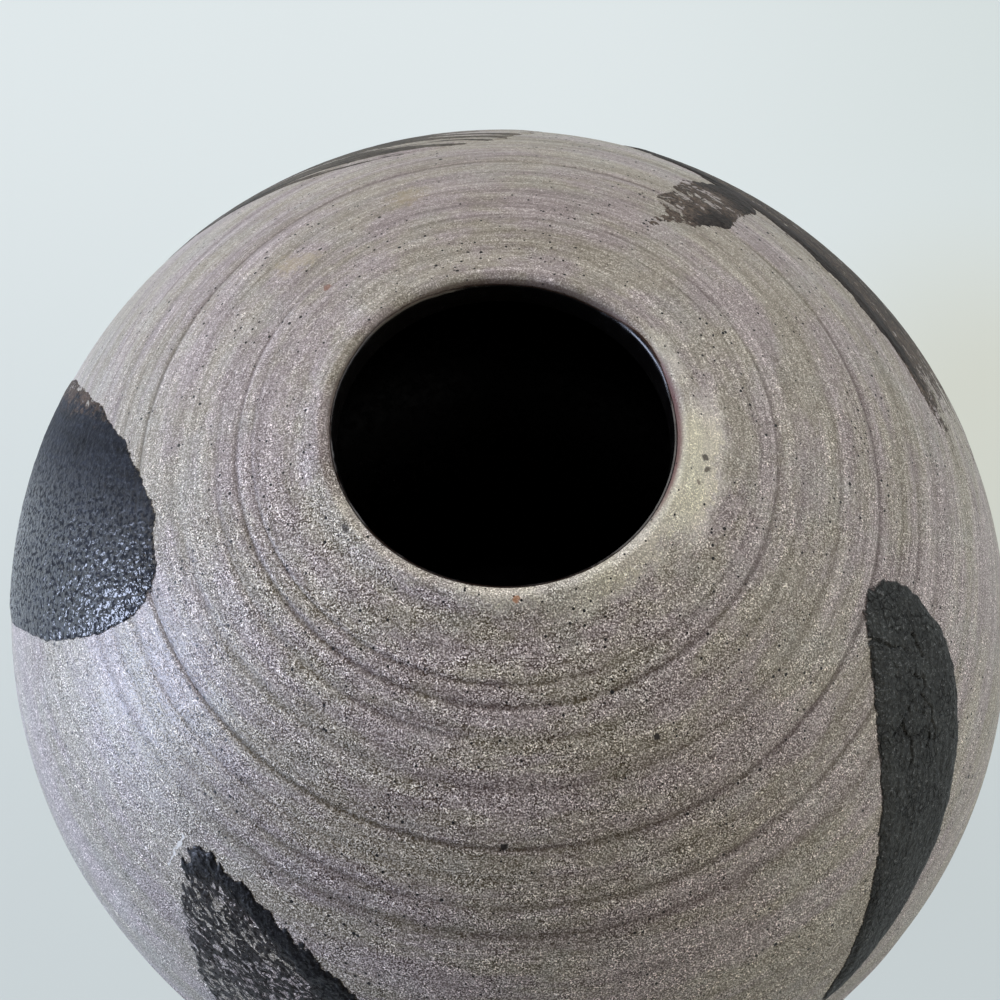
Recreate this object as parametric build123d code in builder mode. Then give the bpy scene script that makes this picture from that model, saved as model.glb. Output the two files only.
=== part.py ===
"""Moon jar: a round stoneware jar, thrown as two bowls that are joined rim to rim at the belly.

Millimetres, +Z up. The origin lies on the jar's axis, on the surface that the foot stands on.
Sections are drawn as radius and height in the XZ plane and turned about Z, as the wheel turns them.
"""

import math
import os
from collections import namedtuple

from build123d import *

# Body: each half is a belly arc that runs into a flatter arc centred on the axis
belly_radius = 150.0
shoulder_bend = 120.0  # radius of the upper belly arc
shoulder_angle = 45.0  # where the upper belly arc ends, above the belly plane
base_bend = 144.0  # radius of the lower belly arc
base_angle = 45.0  # where the lower belly arc ends, below the belly plane
base_radius = 51.0  # the flat that the foot is luted to
wall = 7.5
floor_thickness = 8.0

# Belly joint: a keyed rim above and below, with slip between
slip_gap = 1.2
key_height = 2.5
key_width = 3.4
key_slope = 0.6  # how far each flank of the key leans in
seam_ridge = 0.6  # slip squeezed out past the belly
seam_ridge_height = 5.0
coil_height = 14.0  # clay coil pressed over the seam from inside
coil_thickness = 6.0
coil_smear = 4.5  # how far each edge of the coil is smeared out along the wall

# Mouth
mouth_radius = 40.5
lip_radius = 2.4
lip_rise = 1.4  # lip above the shoulder's curve
collar_radius = 61.5  # the collar's joint line on the shoulder
scarf = 6.0  # how far the joint's bevel runs in through the wall
lip_groove_offset = 2.0  # from the lip bead to the groove outside it

# Foot
foot_height = 10.0
foot_inset = 2.0  # from the edge of the base to the foot
foot_width = 9.0  # on the standing face
foot_draft = 1.5  # the foot is this much wider at its root
foot_seat = 1.5  # how far the root is let into the base
foot_bevel = 1.0

# Throwing rings on the shoulder
ring_tool_radius = 4.0
ring_depth = 0.35
ring_first_radius = 66.5
ring_pitch = 9.2
ring_count = 6

# Liner glaze
glaze = 0.7
glaze_below_lip = 0.4  # from the middle of the lip's bead down to the glaze

# Brushed dabs of dark slip. Each is laid on the plane that touches the jar at its middle.
dab_thickness = 0.9
dab_bluntness = 0.9  # 1 gives round ends, less gives blunter ones
dab_arcs = 16  # arcs that make up each outline
dab_reach = 60.0  # how deep below that plane the jar may curve away

# turn is the bearing about Z in degrees, from +X. height is above the belly plane.
# lean turns the dab on its plane, taper widens its upper end, and bow bends it sideways.
Dab = namedtuple("Dab", "turn height length width lean taper bow")
left_dab = Dab(turn=174.0, height=39.0, length=178.0, width=71.0, lean=-25.5, taper=0.07, bow=-6.0)
front_dab = Dab(turn=-110.0, height=30.0, length=140.0, width=62.0, lean=35.5, taper=-0.39, bow=4.0)
right_dab = Dab(turn=-40.5, height=72.5, length=118.0, width=30.0, lean=-42.0, taper=0.56, bow=11.0)
back_right_dab = Dab(turn=38.0, height=75.0, length=152.0, width=52.0, lean=-90.0, taper=0.0, bow=12.0)
back_left_dab = Dab(turn=117.0, height=57.0, length=142.0, width=70.0, lean=-113.5, taper=-0.3, bow=7.0)

# Where the brush was set down, one dab has a lobe: an oval on the same plane.
Lobe = namedtuple("Lobe", "side along width length")
back_right_lobe = Lobe(side=-27.0, along=29.0, width=46.0, length=28.0)

# Half is one half of the body's curve: side is 1 above the belly plane and -1 below it.
Half = namedtuple("Half", "side bend angle")
shoulder = Half(1, shoulder_bend, shoulder_angle)
base = Half(-1, base_bend, base_angle)


def pole_bend(half):
    """Radius of the flatter arc, which is centred on the axis and meets the belly arc smoothly."""
    return half.bend + (belly_radius - half.bend) / math.cos(math.radians(half.angle))


def pole_setback(half):
    """How far the flatter arc's centre lies beyond the belly plane, away from its own half."""
    return (belly_radius - half.bend) * math.tan(math.radians(half.angle))


# Places that follow from the sizes
past = 10.0  # how far cutting shapes run past what they cut
base_depth = math.sqrt(pole_bend(base) ** 2 - base_radius**2) - pole_setback(base)
seam_height = foot_height + base_depth
crown_height = seam_height + pole_bend(shoulder) - pole_setback(shoulder)
floor_height = foot_height + floor_thickness
foot_outer_radius = base_radius - foot_inset
foot_inner_radius = foot_outer_radius - foot_width
joint_height = seam_height - key_height / 2  # the slip's middle, where it shows on the belly


def shoulder_normal(sine, cosine, inset=0.0):
    """Point on the upper curve, or inside it by the inset, where its normal has this sine and cosine."""
    if sine < math.sin(math.radians(shoulder_angle)):
        centre = Vector(belly_radius - shoulder_bend, seam_height)
        bend = shoulder_bend
    else:
        centre = Vector(0, seam_height - pole_setback(shoulder))
        bend = pole_bend(shoulder)
    return centre + Vector(cosine, sine) * (bend - inset)


def shoulder_at_radius(radius, inset=0.0):
    """Point on the upper curve at a radius, and the outward direction there."""
    cosine = radius / (pole_bend(shoulder) - inset)
    if cosine > math.cos(math.radians(shoulder_angle)):
        cosine = (radius - belly_radius + shoulder_bend) / (shoulder_bend - inset)
    sine = math.sqrt(1 - cosine**2)
    return shoulder_normal(sine, cosine, inset), Vector(cosine, sine)


def shoulder_at_height(height):
    """Point on the upper curve at a height above the belly plane, and the outward direction there."""
    sine = height / shoulder_bend
    if sine > math.sin(math.radians(shoulder_angle)):
        sine = (height + pole_setback(shoulder)) / pole_bend(shoulder)
    cosine = math.sqrt(1 - sine**2)
    return shoulder_normal(sine, cosine), Vector(cosine, sine)


lip_centre_radius = mouth_radius + lip_radius
lip_centre_height = shoulder_at_radius(lip_centre_radius)[0].Y + lip_rise - lip_radius
glaze_top = lip_centre_height - glaze_below_lip
lip_groove_radius = lip_centre_radius + lip_radius + lip_groove_offset
ring_radii = [ring_first_radius + ring * ring_pitch for ring in range(ring_count)]


def half_body(half, inset):
    """Half section of one half of the body, drawn in from its outside by the inset."""
    turn = half.side * half.angle
    rest = half.side * (90 - half.angle)
    with BuildSketch() as section:
        with BuildLine():
            belly_arc = CenterArc((belly_radius - half.bend, seam_height), half.bend - inset, 0, turn)
            pole_centre = (0, seam_height - half.side * pole_setback(half))
            pole_arc = CenterArc(pole_centre, pole_bend(half) - inset, turn, rest)
            Polyline(pole_arc @ 1, (0, seam_height), belly_arc @ 0)
        make_face()
    return section.sketch


def hollow(skin):
    """Half section of the space inside the clay, drawn in by a skin of the given thickness."""
    with BuildSketch() as section:
        add(half_body(base, wall + skin))
        with Locations((belly_radius / 2, floor_height + skin - base_depth / 2)):
            Rectangle(belly_radius, base_depth, mode=Mode.SUBTRACT)
        add(half_body(shoulder, wall + skin))
    return section.sketch


def coil_section(skin):
    """Section of the inner coil, smeared out along the wall, with a skin over it."""
    bed = belly_radius - wall
    crest = bed - coil_thickness
    half_height = coil_height / 2
    half_crest = half_height - coil_smear
    with BuildSketch() as section:
        with BuildLine():
            Polyline(
                (bed, joint_height - half_height),
                (crest, joint_height - half_crest),
                (crest, joint_height + half_crest),
                (bed, joint_height + half_height),
                close=True,
            )
        make_face()
        offset(amount=skin, kind=Kind.INTERSECTION)
    return section.sketch


def open_space(skin):
    """Half section of the hollow and the throat of the mouth, clear of the coil and of a skin on all."""
    throat_radius = mouth_radius - skin
    throat_height = crown_height - seam_height
    with BuildSketch() as section:
        add(hollow(skin))
        add(coil_section(skin), mode=Mode.SUBTRACT)
        with Locations((throat_radius / 2, seam_height + throat_height / 2)):
            Rectangle(throat_radius, throat_height)
    return section.sketch


def rim_line(lift):
    """The keyed rim at the belly, from inside the wall to outside it, lifted from the slip's middle."""
    middle = belly_radius - wall / 2
    root = joint_height + lift
    crest = root + key_height
    return [
        (belly_radius - wall - past, root),
        (middle - key_width / 2, root),
        (middle - key_width / 2 + key_slope, crest),
        (middle + key_width / 2 - key_slope, crest),
        (middle + key_width / 2, root),
        (belly_radius + past, root),
    ]


def scarf_line():
    """The collar's bevelled joint, as its two ends carried on past the wall."""
    top = shoulder_at_radius(collar_radius)[0]
    bottom = shoulder_at_radius(collar_radius - scarf, wall)[0]
    overrun = (top - bottom).normalized() * past
    top += overrun
    bottom -= overrun
    return (top.X, top.Y), (bottom.X, bottom.Y)


def cut_rings(radii):
    """Rounded grooves in the shoulder at the given radii, cut from the open sketch."""
    for radius in radii:
        surface, outward = shoulder_at_radius(radius)
        centre = surface + outward * (ring_tool_radius - ring_depth)
        with Locations((centre.X, centre.Y)):
            Circle(ring_tool_radius, mode=Mode.SUBTRACT)


def whole_wall():
    """Half section of the wall from pole to pole, before it is parted into pieces."""
    with BuildSketch() as section:
        add(half_body(base, 0))
        add(half_body(shoulder, 0))
        add(hollow(0), mode=Mode.SUBTRACT)
    return section.sketch


def upper_clay():
    """Half section of the upper bowl, from its keyed rim to the bevel that carries the collar."""
    with BuildSketch() as section:
        add(whole_wall())
        with BuildLine():
            Polyline(
                *rim_line(slip_gap / 2),
                (belly_radius + past, crown_height + past),
                *scarf_line(),
                close=True,
            )
        make_face(mode=Mode.INTERSECT)
        cut_rings([collar_radius, *ring_radii])
    return section.sketch


def lower_clay():
    """Half section of the lower bowl, from its flat base to its keyed rim."""
    rim = rim_line(-slip_gap / 2)
    with BuildSketch() as section:
        add(whole_wall())
        with BuildLine():
            Polyline(
                (0, foot_height),
                (belly_radius + past, foot_height),
                *reversed(rim),
                (0, rim[0][1]),
                close=True,
            )
        make_face(mode=Mode.INTERSECT)
    return section.sketch


def seam_section():
    """Half section of the slip between the keyed rims and of the ridge squeezed out past them."""
    half_height = seam_ridge_height / 2
    with BuildSketch() as section:
        add(whole_wall())
        with BuildLine():
            Polyline(*rim_line(-slip_gap / 2), *reversed(rim_line(slip_gap / 2)), close=True)
        make_face(mode=Mode.INTERSECT)
        with BuildLine():
            ridge = ThreePointArc(
                (belly_radius - seam_ridge, joint_height - half_height),
                (belly_radius + seam_ridge, joint_height),
                (belly_radius - seam_ridge, joint_height + half_height),
            )
            Line(ridge @ 1, ridge @ 0)
        make_face()
        add(upper_clay(), mode=Mode.SUBTRACT)
        add(lower_clay(), mode=Mode.SUBTRACT)
    return section.sketch


def dab_plane(dab):
    """Plane that touches the shoulder at the dab's middle, with its Y up the jar before the lean."""
    turn = math.radians(dab.turn)
    surface, outward = shoulder_at_height(dab.height)
    across = Vector(math.cos(turn), math.sin(turn), 0)
    middle = across * surface.X + Vector(0, 0, surface.Y)
    normal = across * outward.X + Vector(0, 0, outward.Y)
    around = Vector(-math.sin(turn), math.cos(turn), 0)
    return Plane(middle, x_dir=around.rotate(Axis((0, 0, 0), normal), dab.lean), z_dir=normal)


def dab_outline(dab):
    """Ends and middles of the arcs round one dab on its plane: an oval with blunt ends, tapered and bowed."""
    points = []
    for step in range(2 * dab_arcs):
        angle = math.pi * step / dab_arcs
        along = math.cos(angle)
        blunted = math.copysign(abs(along) ** dab_bluntness, along)
        half_width = dab.width / 2 * (1 + dab.taper * along)
        across = half_width * math.sin(angle) + dab.bow * (1 - along**2)
        points.append((across, blunted * dab.length / 2))
    return points


# Foot ring, and the lower bowl that its root is let into
with BuildPart() as foot_ring:
    with BuildSketch(Plane.XZ):
        with BuildLine():
            Polyline(
                (foot_outer_radius, foot_height + foot_seat),
                (foot_outer_radius, foot_bevel),
                (foot_outer_radius - foot_bevel, 0),
                (foot_inner_radius + foot_bevel, 0),
                (foot_inner_radius, foot_bevel),
                (foot_inner_radius - foot_draft, foot_height),
                (foot_inner_radius - foot_draft, foot_height + foot_seat),
                close=True,
            )
        make_face()
    revolve(axis=Axis.Z)

with BuildPart() as lower_bowl:
    with BuildSketch(Plane.XZ):
        add(lower_clay())
    revolve(axis=Axis.Z)
    add(foot_ring.part, mode=Mode.SUBTRACT)

# Upper bowl
with BuildPart() as upper_bowl:
    with BuildSketch(Plane.XZ):
        add(upper_clay())
    revolve(axis=Axis.Z)

# Slip that lutes the two rims together, and the coil pressed over it from inside
with BuildPart() as seam_slip:
    with BuildSketch(Plane.XZ):
        add(seam_section())
    revolve(axis=Axis.Z)

with BuildPart() as seam_coil:
    with BuildSketch(Plane.XZ):
        add(coil_section(0))
        add(hollow(0), mode=Mode.INTERSECT)
    revolve(axis=Axis.Z)

# Mouth collar: a thrown ring with a rounded lip, bedded in the upper bowl's bevel
with BuildPart() as mouth_collar:
    scarf_top, scarf_bottom = scarf_line()
    with BuildSketch(Plane.XZ):
        add(whole_wall())
        with BuildLine():
            Polyline(
                (mouth_radius, scarf_bottom[1]),
                (mouth_radius, lip_centre_height),
                (lip_centre_radius, lip_centre_height),
                (lip_centre_radius, crown_height + past),
                scarf_top,
                scarf_bottom,
                close=True,
            )
        make_face(mode=Mode.INTERSECT)
        cut_rings([lip_groove_radius, collar_radius])
        with Locations((lip_centre_radius, lip_centre_height)):
            Circle(lip_radius)
    revolve(axis=Axis.Z)

# Liner glaze: a skin over the floor, the walls, the coil and the inside of the mouth
with BuildPart() as liner_glaze:
    with BuildSketch(Plane.XZ):
        add(open_space(0))
        add(open_space(glaze), mode=Mode.SUBTRACT)
        with Locations((mouth_radius / 2, glaze_top + past)):
            Rectangle(mouth_radius, 2 * past, mode=Mode.SUBTRACT)
    revolve(axis=Axis.Z)

# The layer that the dabs are cut from: slip thickness over the clay, outside the collar
with BuildPart() as dab_layer:
    with BuildSketch(Plane.XZ):
        add(half_body(shoulder, -dab_thickness))
        add(half_body(base, -dab_thickness))
        add(hollow(0), mode=Mode.SUBTRACT)
        add(upper_clay(), mode=Mode.SUBTRACT)
        add(lower_clay(), mode=Mode.SUBTRACT)
        add(seam_section(), mode=Mode.SUBTRACT)
        with Locations((collar_radius + belly_radius / 2, seam_height)):
            Rectangle(belly_radius, 2 * base_depth, mode=Mode.INTERSECT)
    revolve(axis=Axis.Z)


def brushed_dab(dab, lobe=None):
    """One dab of slip, seated on the clay and in the throwing rings that it covers."""
    with BuildPart() as layer:
        with BuildSketch(dab_plane(dab).offset(dab_thickness + past)):
            outline = dab_outline(dab)
            with BuildLine():
                for start, middle, end in zip(outline[::2], outline[1::2], outline[2::2] + outline[:1]):
                    ThreePointArc(start, middle, end)
            make_face()
            if lobe:
                with Locations((lobe.side, lobe.along)):
                    Ellipse(lobe.width / 2, lobe.length / 2)
        extrude(amount=-(dab_thickness + past + dab_reach))
        add(dab_layer.part, mode=Mode.INTERSECT)
    return layer


pieces = {
    "foot_ring": foot_ring,
    "lower_bowl": lower_bowl,
    "upper_bowl": upper_bowl,
    "seam_slip": seam_slip,
    "seam_coil": seam_coil,
    "mouth_collar": mouth_collar,
    "liner_glaze": liner_glaze,
    "dab_left": brushed_dab(left_dab),
    "dab_front": brushed_dab(front_dab),
    "dab_right": brushed_dab(right_dab),
    "dab_back_right": brushed_dab(back_right_dab, back_right_lobe),
    "dab_back_left": brushed_dab(back_left_dab),
}

os.makedirs("parts", exist_ok=True)
for name, piece in pieces.items():
    piece.part.label = name
    export_step(piece.part, f"parts/{name}.step")
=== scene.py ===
"""Moon jar: the look of a gritty stoneware jar with brushed dabs of dark slip.

Metres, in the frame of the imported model: +Z up, the jar's axis on Z, -Y towards the viewer.
Shapes are worked out in millimetres and turned into metres where a mesh is made.
"""

import functools
import math
from collections import namedtuple

import bpy
import numpy as np
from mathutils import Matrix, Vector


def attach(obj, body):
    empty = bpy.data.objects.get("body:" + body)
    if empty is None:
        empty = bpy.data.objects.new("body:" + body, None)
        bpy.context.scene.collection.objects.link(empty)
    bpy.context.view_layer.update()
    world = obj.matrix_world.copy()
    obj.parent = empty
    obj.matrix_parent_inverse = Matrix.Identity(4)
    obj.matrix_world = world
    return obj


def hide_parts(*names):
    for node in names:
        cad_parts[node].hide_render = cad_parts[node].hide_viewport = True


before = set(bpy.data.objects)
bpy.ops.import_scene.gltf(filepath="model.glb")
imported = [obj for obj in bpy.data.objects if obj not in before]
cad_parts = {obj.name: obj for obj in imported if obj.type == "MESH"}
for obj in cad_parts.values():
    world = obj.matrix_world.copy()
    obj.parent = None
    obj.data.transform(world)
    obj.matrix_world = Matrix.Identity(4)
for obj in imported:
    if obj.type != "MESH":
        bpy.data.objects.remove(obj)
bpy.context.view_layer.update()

mm = 0.001

# Body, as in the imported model: each half is a belly arc that runs into a flatter arc centred on the axis
belly_radius = 150.0
shoulder_bend = 120.0
base_bend = 144.0
change = math.radians(45.0)  # where the arcs meet, above or below the belly plane
base_radius = 51.0
wall = 7.5
floor_thickness = 8.0
foot_height = 10.0
shoulder_pole = shoulder_bend + (belly_radius - shoulder_bend) / math.cos(change)
shoulder_setback = (belly_radius - shoulder_bend) * math.tan(change)
base_pole = base_bend + (belly_radius - base_bend) / math.cos(change)
base_setback = (belly_radius - base_bend) * math.tan(change)
seam_height = foot_height + math.sqrt(base_pole**2 - base_radius**2) - base_setback

# Belly joint
slip_gap = 1.2
key_height = 2.5
key_width = 3.4
key_slope = 0.6
ridge_height = 5.0
ridge_rise = 0.6
coil_height = 14.0
coil_thickness = 6.0
coil_smear = 4.5
glaze = 0.7
joint_height = seam_height - key_height / 2

# Mouth
mouth_radius = 40.5
lip_radius = 2.4
lip_rise = 1.4
lip_blend = 50.0  # where the shoulder starts to rise to the lip
collar_radius = 61.5
scarf = 6.0

# Foot
foot_outer = base_radius - 2.0
foot_inner = foot_outer - 9.0
foot_draft = 1.5
foot_seat = 1.5
foot_round = 1.4

# Meshes
columns = 512  # of points round a turned piece
foot_columns = 256
close_rows_end = 118.0  # rows lie close together from the mouth to this radius, where the rings are
joint_spacing = 3.0  # of the rows in a joint
pole_radius = 2.0  # of the small flat caps at the axis


# Places and the body's curve

def round_point(radius, turn, height):
    """Points at a radius, a bearing and a height."""
    return np.stack([radius * np.cos(turn), radius * np.sin(turn), height], axis=-1)


def outward(turn, tilt):
    """Direction from the axis at a bearing and a tilt above the horizon."""
    return round_point(np.cos(tilt), turn, np.sin(tilt))


def body_curve(tilt, lift=0.0):
    """Radius and height of the body where its normal is tilted up by this much, with a lift off it."""
    upper = tilt >= 0
    flat = np.abs(tilt) > change
    bend = np.where(upper, np.where(flat, shoulder_pole, shoulder_bend), np.where(flat, base_pole, base_bend))
    bend = bend + lift
    centre_radius = np.where(flat, 0.0, belly_radius - np.where(upper, shoulder_bend, base_bend))
    setback = np.where(flat, np.where(upper, -shoulder_setback, base_setback), 0.0)
    return centre_radius + bend * np.cos(tilt), seam_height + setback + bend * np.sin(tilt)


def tilt_at_radius(radius, inset=0.0):
    """Tilt of the shoulder's normal where the curve, drawn in by the inset, has this radius."""
    cosine = radius / (shoulder_pole - inset)
    if cosine > math.cos(change):
        cosine = (radius - belly_radius + shoulder_bend) / (shoulder_bend - inset)
    return math.acos(cosine)


def tilt_at_height(height, inset=0.0):
    """Tilt of the body's normal where the curve, drawn in by the inset, has this height."""
    above = height - seam_height
    if above >= 0:
        bend, pole, setback = shoulder_bend, shoulder_pole, -shoulder_setback
    else:
        bend, pole, setback = base_bend, base_pole, base_setback
    sine = above / (bend - inset)
    if abs(sine) > math.sin(change):
        sine = (above - setback) / (pole - inset)
    return math.asin(sine)


# Seeded noise for shapes

def lattice_noise(x, y, seed, period=256):
    """Smooth noise from -1 to 1, drawn at each whole x and y. It repeats after the period in x."""
    rows = 256
    values = np.random.default_rng(seed).uniform(-1, 1, (period, rows))
    column, row = np.floor(x).astype(int), np.floor(y).astype(int)
    across, along = x - column, y - row
    across = across * across * (3 - 2 * across)
    along = along * along * (3 - 2 * along)

    def at(right, up):
        return values[(column + right) % period, (row + up) % rows]

    near = at(0, 0) * (1 - across) + at(1, 0) * across
    far = at(0, 1) * (1 - across) + at(1, 1) * across
    return near * (1 - along) + far * along


def layered_noise(x, y, seed, layers=3, period=256):
    """Noise with finer and weaker layers on top of the first."""
    total = 0.0
    for layer in range(layers):
        size = 2**layer
        total = total + lattice_noise(x * size, y * size, seed + layer, period * size) / size
    return total / 1.5


def round_noise(turn, y, cells, seed, layers=3):
    """Layered noise round the jar, with so many cells to a turn. It closes on itself."""
    return layered_noise((turn / math.tau + 0.5) * cells, y, seed, layers, cells)


def smooth_step(value, low, high):
    """0 below low, 1 above high and a smooth rise between them."""
    part = np.clip((value - low) / (high - low), 0.0, 1.0)
    return part * part * (3 - 2 * part)


def hump(value, middle, width):
    """1 at the middle, with a smooth fall to 0 at a few widths from it."""
    return np.exp(-(((value - middle) / width) ** 2))


# Throwing rings: strong ones where the photo shows them, and faint ones between

Ring = namedtuple("Ring", "radius depth width wander phase")
strong_rings = [
    Ring(collar_radius, 0.3, 0.6, 0.0, 0.0),
    Ring(66.2, 0.46, 0.75, 0.35, 0.4),
    Ring(72.5, 0.2, 0.8, 0.4, 2.0),
    Ring(82.7, 0.17, 1.2, 0.5, 1.1),
    Ring(94.1, 0.5, 0.6, 0.4, 2.6),
    Ring(101.0, 0.26, 0.8, 0.5, 0.2),
    Ring(106.0, 0.2, 0.8, 0.5, 3.0),
    Ring(112.0, 0.24, 0.9, 0.6, 1.7),
]
faint_ring_count = 16
faint_ring_depth = 0.1
front_turn = math.radians(-100.0)  # the rings are cut deepest here


def faint_rings():
    """Shallow rings at seeded places between the strong ones."""
    dice = np.random.default_rng(11)
    rings = []
    for radius in np.linspace(64.0, 128.0, faint_ring_count):
        place = radius + dice.uniform(-1.5, 1.5)
        depth = faint_ring_depth * dice.uniform(0.4, 1.2)
        rings.append(Ring(place, depth, dice.uniform(0.7, 1.3), dice.uniform(0.2, 0.8), dice.uniform(0, 6)))
    return rings


shoulder_rings = strong_rings + faint_rings()


def ring_depth(turn, radius):
    """Depth of the throwing rings at places on the shoulder. Each comes and goes round the jar."""
    fade = 0.72 + 0.28 * np.cos(turn - front_turn)
    depth = 0.0
    for ring in shoulder_rings:
        middle = ring.radius + ring.wander * np.sin(turn + ring.phase)
        strength = 0.88 + 0.12 * np.sin(2 * turn + 3 * ring.phase)
        depth = depth + ring.depth * strength * fade * hump(radius, middle, ring.width)
    return depth


def shoulder_relief(turn, tilt):
    """How far the thrown shoulder stands off its plain curve."""
    radius = body_curve(tilt)[0]
    relief = 0.10 * round_noise(turn, radius / 9.0, 12, 3) - ring_depth(turn, radius)
    return relief * smooth_step(tilt, 0.0, 0.12)


def base_relief(turn, tilt):
    """Shallow trimming marks below the belly."""
    height = body_curve(tilt)[1]
    marks = 0.10 * np.sin(math.tau * (height / 6.5 + 0.2 * round_noise(turn, height / 30, 8, 8, 1)))
    marks = marks + 0.12 * round_noise(turn, height / 12.0, 12, 9)
    return marks * smooth_step(-tilt, 0.05, 0.2)


# The fired jar isn't quite round: it is a little small all round, shifted towards one side and a little oval.
swell = -0.26
shift, shift_turn = 0.98, math.radians(-52.0)
oval, oval_turn = 1.2, math.radians(-53.0)
warp_reach = 140.0  # above and below the belly, where the warp dies away


# The mouth sits a little off the axis and is wider than it is deep.
mouth_shift = (-0.95, 1.2)
mouth_swell, mouth_oval = 0.2, 0.8
mouth_reach = 75.0  # from the axis, where this dies away
mouth_full = 50.0
mouth_low, mouth_high = 225.0, 255.0  # heights between which it sets in


def lopsided(points):
    """The points moved as the fired jar's warp moves them."""
    turn = np.arctan2(points[:, 1], points[:, 0])
    part = np.clip(1 - ((points[:, 2] - seam_height) / warp_reach) ** 2, 0, 1)
    out = part * (swell + shift * np.cos(turn - shift_turn) + oval * np.cos(2 * (turn - oval_turn)))
    radius = np.hypot(points[:, 0], points[:, 1])
    near = smooth_step(mouth_reach - radius, 0, mouth_reach - mouth_full)
    near = near * smooth_step(points[:, 2], mouth_low, mouth_high)
    out = out + near * (mouth_swell + mouth_oval * np.cos(2 * turn))
    moved = points.copy()
    moved[:, 0] += out * np.cos(turn) + near * mouth_shift[0]
    moved[:, 1] += out * np.sin(turn) + near * mouth_shift[1]
    return moved


# Meshes

def new_object(name, data):
    """An object in the scene, from a mesh, a light or a camera."""
    thing = bpy.data.objects.new(name, data)
    bpy.context.collection.objects.link(thing)
    return thing


def add_piece(name, points, faces, sharp_degrees):
    """A shaded mesh object from points in millimetres."""
    mesh = bpy.data.meshes.new(name)
    mesh.from_pydata((lopsided(points) * mm).tolist(), [], faces)
    mesh.validate()
    mesh.shade_smooth()
    mesh.set_sharp_from_angle(angle=math.radians(sharp_degrees))
    return new_object(name, mesh)


def mark(piece, name, values, kind="FLOAT"):
    """Gives each point of a piece a value that its material reads."""
    layer = piece.data.attributes.new(name, kind, "POINT")
    field = "vector" if kind == "FLOAT_VECTOR" else "value"
    layer.data.foreach_set(field, values.astype(np.float32).reshape(-1))


def quads(*corners):
    """Faces from four arrays of point numbers."""
    return np.stack(corners, axis=-1).reshape(-1, 4).tolist()


def turned_piece(name, radius, height, turn, closed, sharp_degrees=35.0):
    """Rows of points turned about the axis. A section that isn't closed gets flat caps at its ends."""
    rows, across = radius.shape
    points = round_point(radius, turn, height).reshape(-1, 3)
    number = np.arange(rows * across).reshape(rows, across)
    start = number if closed else number[:-1]
    end = np.roll(number, -1, axis=0) if closed else number[1:]
    faces = quads(start, np.roll(start, -1, axis=1), np.roll(end, -1, axis=1), end)
    if not closed:
        faces.append(number[0][::-1].tolist())
        faces.append(number[-1].tolist())
    return add_piece(name, points, faces, sharp_degrees)


class Section:
    """Rows of a turned piece, put together from runs of points."""

    def __init__(self, count=columns):
        self.turn = np.linspace(-math.pi, math.pi, count, endpoint=False)
        self.radius, self.height, self.groove, self.lip = [], [], [], []

    def row(self, radius, height, groove=0.0, lip=0.0):
        """One row of points. A number is the same all round."""
        new = ((self.radius, radius), (self.height, height), (self.groove, groove), (self.lip, lip))
        for rows, value in new:
            rows.append(np.broadcast_to(value, self.turn.shape))

    def line(self, start, end, spacing):
        """A straight run from start up to, but not including, end."""
        steps = max(1, round(math.dist(start, end) / spacing))
        for part in np.arange(steps) / steps:
            self.row(start[0] + (end[0] - start[0]) * part, start[1] + (end[1] - start[1]) * part)

    def path(self, points, spacing):
        """Straight runs through the points, without the last of them."""
        for start, end in zip(points[:-1], points[1:]):
            self.line(start, end, spacing)

    def skin(self, tilts, relief=None, inset=0.0):
        """Rows on the body's curve, drawn in by the inset and lifted by the relief."""
        for tilt in tilts:
            level = np.full_like(self.turn, tilt)
            lift = -inset if relief is None else relief(self.turn, level) - inset
            grooved = relief in (shoulder_relief, lip_relief)
            groove = ring_depth(self.turn, body_curve(level)[0]) if grooved else 0.0
            self.row(*body_curve(level, lift), groove)

    def swing(self, centre, bend, angle, lip=0.0):
        """One row at an angle about a centre."""
        self.row(centre[0] + bend * np.cos(angle), centre[1] + bend * np.sin(angle), lip=lip)

    def arc(self, centre, bend, start, end, spacing):
        """A round run about a centre, between two angles, without its last point."""
        steps = max(2, round(abs(end - start) * bend / spacing))
        for angle in start + (end - start) * np.arange(steps) / steps:
            self.swing(centre, bend, angle)

    def piece(self, name, closed=True):
        """The finished piece."""
        turn = np.broadcast_to(self.turn, (len(self.radius), len(self.turn)))
        piece = turned_piece(name, np.array(self.radius), np.array(self.height), turn, closed)
        mark(piece, "groove", np.array(self.groove))
        mark(piece, "lip", np.array(self.lip))
        return piece


def rim_points(lift):
    """The keyed rim at the belly, from its inner edge to its outer edge."""
    middle = belly_radius - wall / 2
    root = joint_height + lift
    crest = root + key_height
    return [
        (belly_radius - wall, root),
        (middle - key_width / 2, root),
        (middle - key_width / 2 + key_slope, crest),
        (middle + key_width / 2 - key_slope, crest),
        (middle + key_width / 2, root),
        (belly_radius, root),
    ]


def make_upper_bowl():
    """Upper bowl: the ringed shoulder outside, the keyed rim below and the plain inside."""
    section = Section()
    joint = tilt_at_radius(collar_radius)
    rings_end = tilt_at_radius(close_rows_end)
    rim_tilt = tilt_at_height(joint_height + slip_gap / 2)
    section.skin(np.linspace(joint, rings_end, 122, endpoint=False), shoulder_relief)
    section.skin(np.linspace(rings_end, rim_tilt, 34), shoulder_relief)
    section.path(rim_points(slip_gap / 2)[::-1][1:], joint_spacing)
    inner_joint = tilt_at_radius(collar_radius - scarf, wall)
    section.skin(np.linspace(0.0, inner_joint, 14), inset=wall)
    return section.piece("upper_bowl_clay")


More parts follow.
